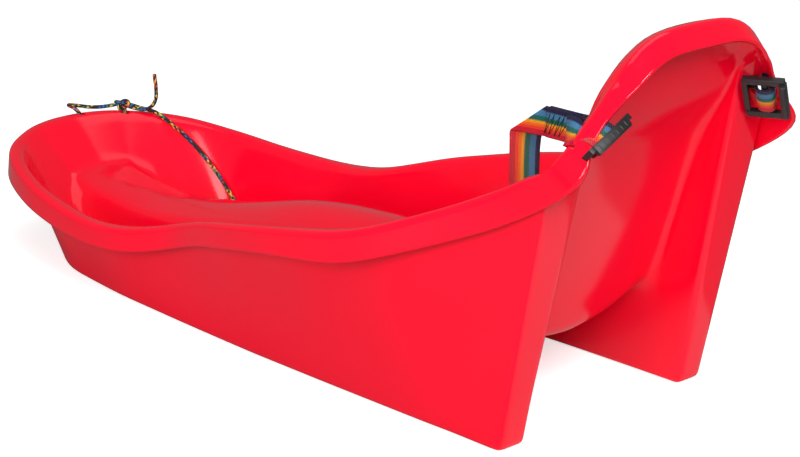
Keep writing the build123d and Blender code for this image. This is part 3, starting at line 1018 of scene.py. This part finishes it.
# %% Floor, tunnel and back panel
FLOOR_EDGE = 7.0                    # from a wall to the row that keeps its bend tight
PANEL_FOOT = [(31, 73, 76), (36, 44, 61), (38, 0, 54)]
PANEL_SHARES = (0.86, 0.5, 0.0)     # of the panel's half width
TUNNEL_SHARES = ((0.8, 0.2), (0.45, 0.68))      # (of the half width, of the way up to the crown)

floor_rows = [[column[0] for column in rear]]
for outside, inside in zip(outer, inner):
    a, b = outside[0], inside[0]
    edge = FLOOR_EDGE / math.dist(a, b)
    floor_rows.append([a, between(a, b, edge), between(a, b, 0.5), between(b, a, edge), b])
floor_rows.append([column[0] for column in bow[:TOE_COLUMN + 1]])
grid(floor_rows)

leg_corner = inner[PANEL_COLUMN]
top_rows = [[leg_corner[3]] + PANEL_FOOT]
for number, station in enumerate(INNER_STATIONS):
    if number > PANEL_COLUMN:
        _, shoulder, high, crown = tunnel_section(station)
        over = [(station, shoulder * wide, mix(high, crown, up)) for wide, up in TUNNEL_SHARES]
        top_rows.append([inner[number][3]] + over + [(station, 0, crown)])
top_rows.append([column[3] for column in bow[TOE_COLUMN:]])
grid(top_rows)

panel_rows = [top_rows[0]]
for level in range(4, LEVELS):
    row = [leg_corner[level]]
    for share, (_, foot_half, low) in zip(PANEL_SHARES, PANEL_FOOT):
        half = inner_half(leg_corner[level][2]) * share
        top = arch_height(half)
        heights = (low + SEAT_BEND, CREASE, mix(CREASE, top, 0.45 + 0.2 * share), top)
        z = heights[level - 4]
        row.append((panel_station(z), mix(foot_half, half, (z - low) / (top - low)), z))
    panel_rows.append(row)
grid(panel_rows)
crease_row = panel_rows[2]
print("cage so far:", len(cage.verts), "corners,", len(cage.faces), "quads")

# %% [markdown]
# The rim runs all round the top: a land that turns outward from the wall,
# a fold, and a skirt that hangs from it. Its direction is worked out at each
# column from the way the rim runs there. Over the arch the skirt leans back
# into a hood, and it is narrow where the belt's sliders lie.

# %% Lines of the rim
SKIRT = [(773, 24), (600, 23), (400, 22), (200, 23), (150, 28), (110, 25), (60, 26)]
# Behind this station the skirt's depth goes with height instead.
SHOULDER = 60
SKIRT_REAR = [(345, 21.5), (338, 24), (320, 20), (300, 15), (285, 12), (268, 17), (255, 33),
              (246, 33), (236, 32), (228, 29), (190, 26)]
# (height, how much further back than down the skirt hangs).
LEAN = [(345, 0.45), (320, 0.9), (285, 1.0), (268, 1.4), (255, 1.5), (236, 0.75), (215, 0.15),
        (200, 0)]
FOLD_SUPPORT = 4.0                  # from the fold to the rows that keep it tight

tops = panel_rows[-1][::-1] + [column[-1] for column in
                               [inner[1], inner[0]] + rear[::-1] + outer + bow]
rim = pushed_out(ARCH_RIM + SIDE_RIM + BOW_RIM)
print("columns round the rim:", len(tops), "and", len(rim))

# %% [markdown]
# The land is flat round the tub and turns up toward the arch, where the rim
# stands on edge. The middle row of the skirt lets it curve a little.

# %% Rim
ARCH_START, ARCH_FULL = 225, 295    # heights between which the rim turns over into the arch
ARCH_TOP, FLANK_FULL = 345, 310     # heights between which the arch's flank sets in
TOP_TURN_UP, FLANK_TURN_UP = 0.18, 0.4      # how far the land turns up there, and more on the flank
DRAFT = 0.1                         # how far the skirt leans in under the land elsewhere
SKIRT_MIDDLE = 0.55                 # place of the skirt's middle row


def mirrored(point):
    """The point on the other side of the sled."""
    return Vector((point[0], -point[1], point[2]))


def skirt_depth(here):
    """How deep the skirt hangs below a point of the rim."""
    return look_up(SKIRT, here.x) if here.x > SHOULDER else look_up(SKIRT_REAR, here.z)


def rim_row(number):
    """Under side of the rim at one column: land, fold and skirt."""
    here = Vector(rim[number])
    before = Vector(rim[number - 1]) if number else mirrored(rim[1])
    after = Vector(rim[number + 1]) if number + 1 < len(rim) else mirrored(rim[-2])
    along = (before - after).normalized()
    rise = min(1.0, max(0.0, (here.z - ARCH_START) / (ARCH_FULL - ARCH_START)))
    rise = rise * rise * (3 - 2 * rise)
    flank = min(1.0, max(0.0, (ARCH_TOP - here.z) / (ARCH_TOP - FLANK_FULL)))
    plan = Vector((along.x, along.y, 0)).normalized()
    turn_up = (TOP_TURN_UP + FLANK_TURN_UP * flank) * rise
    land = Vector((-plan.y, plan.x, 0)) + Vector((0, -along.z, along.y)) * turn_up
    land.normalize()
    lean = look_up(LEAN, here.z) if here.x < SHOULDER else 0.0
    draft = land * DRAFT * (1 - rise)
    drop = (Vector((-lean, 0, 0)) - along.cross(land) - draft).normalized()
    under = (drop - land * drop.dot(land)).normalized()
    fold = here + (land + under) * (WALL - FOLD_SUPPORT / SMOOTHING)
    top = Vector(tops[number])
    hang = drop * (skirt_depth(here) - WALL)
    points = [top, fold + (top - fold).normalized() * FOLD_SUPPORT, fold,
              fold + drop * FOLD_SUPPORT, fold + hang * SKIRT_MIDDLE, fold + hang]
    if number in (0, len(rim) - 1):
        points = [Vector((p.x, 0, p.z)) for p in points]
    return [tuple(p) for p in points]


rim_rows = [rim_row(number) for number in range(len(rim))]
for row, top in zip(rim_rows, tops):
    row[0] = top
grid(rim_rows)
print("quads with the rim:", len(cage.faces))

# %% [markdown]
# The cage's only open edges should be the middle line, which the mirror
# closes, and the skirt's lower edge.

# %% Check
bmesh.ops.recalc_face_normals(cage, faces=cage.faces)
lowest = min(cage.faces, key=lambda face: face.calc_center_median().z)
if lowest.normal.z > 0:             # the written skin is the outer one, so the floor faces down
    bmesh.ops.reverse_faces(cage, faces=cage.faces)
skirt_vertices = {corner(row[-1]) for row in rim_rows}
strays = [edge for edge in cage.edges
          if len(edge.link_faces) == 1 and max(abs(v.co.y) for v in edge.verts) > 0.1 * MM
          and not all(v in skirt_vertices for v in edge.verts)]
print("stray open edges:", len(strays))

# %% [markdown]
# The crease across the back panel is the one line that stays sharp through
# the smoothing. The thickness goes inward from the skin that is written down.

# %% Smooth
CREASE_SHARPNESS = 0.9
crease = cage.edges.layers.float.new("crease_edge")
for a, b in zip(crease_row, crease_row[1:]):
    cage.edges.get((corner(a), corner(b)))[crease] = CREASE_SHARPNESS


def smoothed(piece):
    """Give a piece two rounds of subdivision; gives the modifier."""
    smooth = piece.modifiers.new("smooth", "SUBSURF")
    smooth.levels = 2
    smooth.render_levels = 2
    return smooth


def thickened(piece, thickness, offset):
    """Give a sheet its thickness in millimetres; gives the modifier."""
    skin = piece.modifiers.new("thickness", "SOLIDIFY")
    skin.thickness = thickness * MM
    skin.offset = offset
    return skin


hull = shape_object("hull_moulding", cage)
mirror = hull.modifiers.new("other half", "MIRROR")
mirror.use_axis = (False, True, False)
mirror.use_clip = True
mirror.merge_threshold = 0.2 * MM
smoothed(hull)
thickened(hull, WALL, -1.0)
for polygon in hull.data.polygons:
    polygon.use_smooth = True
hull.data.materials.append(red_plastic)
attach(hull, "root")
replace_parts(hull, "hull")
print("half cage:", len(hull.data.vertices), "corners,", len(hull.data.polygons), "quads")

# %% [markdown]
# The slots for the belt and the holes for the rope are cut through the
# finished wall. The cutters aren't part of the sled, so the result is kept
# as a mesh and the cutters are removed.

# %% Slots and rope holes
SLOT_TILT = math.radians(27.0)
SLOT_SIZE = Vector((24.0, 29.0, 6.0)) * MM
SLOT_AT = (106, 271)                # side and height
SEAT_SLOT_SIZE = Vector((6.0, 29.0, 30.0)) * MM
SEAT_SLOT_AT = (84, 0, 60)
ROPE_HOLE_SIZE = Vector((9.0, 9.0, 20.0)) * MM
ROPE_HOLES = ((765.5, -15, 101), (749, -60, 99))
cutters = []


def cutter(place, size, tilt=0.0, around=4):
    """A prism that the hull is cut with; four sides make a box."""
    shape = bmesh.new()
    if around == 4:
        bmesh.ops.create_cube(shape, size=1.0)
    else:
        bmesh.ops.create_cone(shape, cap_ends=True, segments=around, radius1=0.5, radius2=0.5, depth=1.0)
    bmesh.ops.scale(shape, vec=size, verts=shape.verts)
    made = shape_object("cutter", shape)
    made.matrix_world = Matrix.Translation(place) @ Matrix.Rotation(tilt, 4, "X")
    cutters.append(made)


for side in (1, -1):
    slot_place = at(rear_face(SLOT_AT[1]), side * SLOT_AT[0], SLOT_AT[1])
    cutter(slot_place, SLOT_SIZE, -side * SLOT_TILT)
cutter(at(*SEAT_SLOT_AT), SEAT_SLOT_SIZE)
for place in ROPE_HOLES:
    cutter(at(*place), ROPE_HOLE_SIZE, around=24)
for made in cutters:
    cut = hull.modifiers.new("cut", "BOOLEAN")
    cut.object = made
    cut.operation = "DIFFERENCE"
bpy.context.view_layer.update()
cut_mesh = bpy.data.meshes.new_from_object(hull.evaluated_get(bpy.context.evaluated_depsgraph_get()))
hull.modifiers.clear()
hull.data = cut_mesh
for made in cutters:
    bpy.data.objects.remove(made)
print("hull after the cuts:", len(cut_mesh.vertices), "corners,", len(cut_mesh.polygons), "faces")

# %% [markdown]
# ## Tow rope
# Each stretch follows its spline. The loop goes down through one hole and up
# through the other to the knot; the standing part goes on into the coil.

# %% Tow rope
standing_line = spline_points(STANDING + coil_turns())
tail_line = spline_points(TAIL)
loop_line = spline_points(LOOP)
knot = tube("tow_rope_overhand_knot", knot_points(), ROPE / 2, closed=True)
knot.data.materials.append(braid)
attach(knot, "root")
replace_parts(knot, "tow_rope_knot")

for name, line, nodes, far_end, lay, pieces in (
        ("tow_rope_loop_braid", loop_line, ("tow_rope_loop",), "knot", "loose", [knot]),
        ("tow_rope_braid", standing_line, ("tow_rope", "tow_rope_coil"), "bare", "coiled", []),
        ("tow_rope_tail_braid", tail_line, ("tow_rope_tail",), "bare", "loose", [])):
    piece = tube(name, line, ROPE / 2)
    piece.data.materials.append(braid)
    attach(piece, "root")
    for node_name in nodes:
        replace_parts(piece, node_name)
    print(name, "is", round(path_length(line) * 1000), "mm long")

# %% [markdown]
# ## Belt
# A strap is a strip of quads along its line, smoothed by subdivision and
# given the webbing's thickness by Solidify, which also puts the reverse side
# on its second skin. The UV map keeps the true length along each edge, so
# the weave stays square where the crotch strap is folded over at 45 degrees.

# %% Straps
WEB_WIDE = 25.4
WEB_THICK = 1.6
ACROSS = 6                          # quads across a strap


def strap(name, edges, side=1):
    """A strap through pairs of edge points in millimetres: (red edge, navy edge)."""
    shape = bmesh.new()
    uv = shape.loops.layers.uv.new("along")
    edges = [[at(p[0], side * p[1], p[2]) for p in pair] for pair in edges]
    travelled = [[0.0, 0.0]]
    for before, here in zip(edges, edges[1:]):
        travelled.append([t + (b - a).length for t, a, b in zip(travelled[-1], before, here)])
    shares = [n / ACROSS for n in range(ACROSS + 1)]
    rows = [[shape.verts.new(low.lerp(high, share)) for share in shares] for low, high in edges]
    quads(shape, uv, rows, [[(share, mix(*ends, share)) for share in shares] for ends in travelled])
    if side < 0:                        # the same face of the webbing shows on both sides
        bmesh.ops.reverse_faces(shape, faces=shape.faces)
    piece = shape_object(name, shape)
    smoothed(piece).boundary_smooth = "PRESERVE_CORNERS"
    cloth = thickened(piece, WEB_THICK, 0.0)
    cloth.material_offset = 1
    cloth.material_offset_rim = 0
    piece.data.materials.append(webbing_face)
    piece.data.materials.append(webbing_back)
    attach(piece, "root")
    return piece


def row_edges(middle, width):
    """Edge points of a full-width row, from its middle and the way its width goes."""
    half = Vector(width).normalized() * (WEB_WIDE / 2)
    return Vector(middle) - half, Vector(middle) + half


def strap_length(rows):
    """Length of a strap in millimetres along its middle."""
    return path_length([(Vector(a) + Vector(b)) / 2 for a, b in rows])


print("webbing:", WEB_WIDE, "by", WEB_THICK, "mm")

# %% [markdown]
# ## Lap belt
# The two halves are sewn to each other in the middle of the sled. Each runs
# out through its slot, then up through its slider, over the middle bar and
# down. Its way round the bar is written in the slider's own directions, so
# the strap stays on the bar wherever the slider lies.

# %% Lap belt
# Each slider: middle, the way of its long side and of its short side. The
# right one has swung round on its strap.
SLIDERS = {
    1: (Vector((-87.6, 99.4, 268.6)), Vector((0, -0.891, 0.454)), Vector((-0.75, 0.30, 0.59))),
    -1: (Vector((-85.0, 95.5, 268.6)), Vector((-0.257, -0.532, 0.807)), Vector((-0.894, 0.442, 0.011))),
}


def slider_frame(side):
    """Middle, long way, short way and outward way of a slider, square to each other."""
    middle, long_way, short_way = SLIDERS[side]
    long_way = long_way.normalized()
    out = long_way.cross(short_way).normalized()
    return middle, long_way, out.cross(long_way), out


# Round the slider's middle bar: (along its short side, out of its plane).
BAR_WRAP = [(-4.6, -15.0), (1.5, -11.5), (5.6, -7.0), (7.2, -2.0), (6.2, 2.4), (3.2, 3.9),
            (0.0, 4.2), (-3.2, 3.9), (-6.2, 2.4), (-7.4, -2.0), (-8.2, -8.0), (-10.6, -14.0)]
LAP_GAP = 2.6                       # from the middle of the sled to a half's middle, where sewn
LAP_HIGH = 237                      # height of the belt's middle there
# From the slot to the middle: (station, half width, height), then the turn of
# the width from the slot's tilt (0) to upright (1).
LAP_PATH = [
    (-66, 106, 271, 0.0), (-60, 104.5, 272, 0.4), (-46, 94, 268.5, 1.0), (-27, 72, 259, 1.0),
    (-12, 50, 250.5, 1.0), (1, 28, 243, 1.0), (10, 11, 238.5, 1.0), (17, 4.2, 237.2, 1.0),
    (24, 2.7, 237, 1.0), (35, LAP_GAP, LAP_HIGH, 1.0), (48, LAP_GAP, LAP_HIGH, 1.0),
    (62, LAP_GAP, LAP_HIGH, 1.0),
]


def lap_rows(side):
    """Rows of one half of the belt, all written for the left side."""
    middle, long_way, short_way, out_way = slider_frame(side)
    rows = [row_edges(middle + short_way * along + out_way * out, long_way)
            for along, out in BAR_WRAP]
    for station, half, height, turn in LAP_PATH:
        tilt = mix(SLOT_TILT, math.pi / 2, turn)
        rows.append(row_edges((station, half, height), (0, -math.cos(tilt), math.sin(tilt))))
    return rows


for node_name, side in (("lap_belt_left", 1), ("lap_belt_right", -1)):
    lap = lap_rows(side)
    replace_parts(strap(node_name + "_webbing", lap, side), node_name)
    print(node_name, "is", round(strap_length(lap)), "mm long")

# %% [markdown]
# ## Sliders
# A ladder-lock slider is a frame with three cross bars: the strap goes up
# through one window, over the middle bar and down through the other. Each
# member is a block of its own with softened edges, and the end bar has a
# ribbed plate to pull it by.

# %% Sliders
# (middle across, middle along the strap, middle out), size, in millimetres.
SLIDER_BLOCKS = [
    ((-19.8, 0, 0), (6.5, 34.0, 5.0)), ((19.8, 0, 0), (6.5, 34.0, 5.0)),      # rails
    ((0, 15.2, 1.6), (38.0, 5.6, 7.6)), ((0, -15.8, -0.2), (40.0, 4.6, 4.0)),  # end bars
    ((0, 0, 0.6), (36.0, 4.6, 3.2)),                                           # middle bar
    ((0, 15.4, 5.6), (37.0, 4.0, 1.6)),                                        # pull plate
]
RIBS = [((x, 17.6, 2.4), (1.6, 1.0, 5.4)) for x in range(-15, 16, 5)]
SOFT_EDGE = 0.7


def slider(name, side):
    """A ladder-lock slider: its blocks, joined into one piece with softened edges."""
    middle, long_way, short_way, out_way = slider_frame(side)
    shape = bmesh.new()
    for place, size in SLIDER_BLOCKS + RIBS:
        block = bmesh.ops.create_cube(shape, size=1.0)["verts"]
        bmesh.ops.scale(shape, vec=size, verts=block)
        bmesh.ops.translate(shape, vec=place, verts=block)
    for vertex in shape.verts:
        across, along, out = vertex.co
        point = middle + long_way * across + short_way * along + out_way * out
        vertex.co = at(point.x, side * point.y, point.z)
    bmesh.ops.recalc_face_normals(shape, faces=shape.faces)
    piece = shape_object(name, shape)
    soft = piece.modifiers.new("softened edges", "BEVEL")
    soft.width = SOFT_EDGE * MM
    soft.segments = 3
    for polygon in piece.data.polygons:
        polygon.use_smooth = True
    piece.data.materials.append(black_plastic)
    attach(piece, "root")
    return piece


for node_name, side in (("slider_left", 1), ("slider_right", -1)):
    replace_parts(slider(node_name + "_moulded", side), node_name)
print("blocks in a slider:", len(SLIDER_BLOCKS + RIBS))

# %% [markdown]
# ## Crotch strap
# It is sewn between the halves of the lap belt, folded over at 45 degrees so
# that it hangs down, and it turns to lie across the sled before it goes
# through the slot in the seat. Below the slot its end is rolled up and sewn
# as a stop.

# %% Crotch strap
FOLD_TOP = (64, 0, 249.7)
FOLD_LOW = (97.5, 9.4, 224.3)
SEWN_STATIONS = (26, 44, 58)
SLANT_STATION = 62.4                # where the fold's row begins to slant, at its upper edge
DROP_STATION = 89.0                 # of the hanging strap's middle
SLOT_STATION = 84.0
FOLD_TURN = math.radians(47.5)      # of the hanging strap's width from straight ahead
# (height, turn from the folded direction to straight across) down to the slot.
DROP_ROWS = [(216, 0), (190, 0), (150, 0), (110, 0.35), (80, 0.85), (66, 1), (49, 1)]
STOP_ROLL = [(-0.6, 44.5), (1.2, 42.9), (3.2, 43.6), (3.6, 46.2), (1.8, 47.6)]  # (ahead, height)
BEHIND = Vector((0.27, -0.96, 0)) * 1.7     # the hanging layer lies behind the folded one


def crotch_rows():
    """Rows of the strap: sewn part, fold, drop, and the stop below the seat."""
    low, high = FOLD_LOW[2], FOLD_TOP[2]
    rows = [((s, 0, low), (s, 0, high)) for s in SEWN_STATIONS]
    rows.append(((mix(60, FOLD_LOW[0], 0.9), FOLD_LOW[1] * 0.75, low), (SLANT_STATION, 0, high)))
    rows.append((FOLD_LOW, FOLD_TOP))
    rows.append((Vector(FOLD_LOW) + Vector((0.2, 0.0, -1.5)) + BEHIND * 0.5,
                 Vector(FOLD_TOP) + Vector((0.9, -0.5, -1.5)) + BEHIND))
    for height, turn in DROP_ROWS:
        angle = mix(FOLD_TURN, math.pi / 2, turn)
        station = mix(DROP_STATION, SLOT_STATION, turn)
        rows.append(row_edges((station, 0, height), (-math.cos(angle), -math.sin(angle), 0)))
    for ahead, height in STOP_ROLL:
        rows.append(row_edges((SLOT_STATION + ahead, 0, height), (0, -1, 0)))
    return rows


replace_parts(strap("crotch_strap_webbing", crotch_rows()), "crotch_strap")
print("crotch strap is", round(strap_length(crotch_rows())), "mm long")

# %% [markdown]
# ## Bar-tack
# Black thread holds the three layers of the belt: long steep stitches, closer
# together at the two ends of the tack.

# %% Bar-tack
TACK_STATIONS = (33, 35, 37, 39.5, 43, 47, 50, 52, 54.5, 58, 61, 63.5, 66)
TACK_SLANT = 9.0                    # how much further back a stitch is at its upper end
TACK_UP, TACK_DOWN = 8.2, -9.5      # ends of the stitches, from the belt's middle
THREAD = 0.42
THREAD_PROUD = 0.6                  # share of the thread's radius that stands out of the cloth


def bar_tack(name, side):
    """A zigzag of thread on one face of the sewn belt."""
    face = side * (LAP_GAP + WEB_THICK / 2 + THREAD * THREAD_PROUD)
    points = []
    for number, station in enumerate(TACK_STATIONS):
        if number % 2:
            points.append(at(station, face, LAP_HIGH + TACK_DOWN))
        else:
            points.append(at(station - TACK_SLANT, face, LAP_HIGH + TACK_UP))
    piece = tube(name, points, THREAD * MM)
    piece.data.materials.append(stitching)
    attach(piece, "root")
    print(name, "has", round(path_length(points) / MM), "mm of thread")


bar_tack("bar_tack_left", 1)
bar_tack("bar_tack_right", -1)
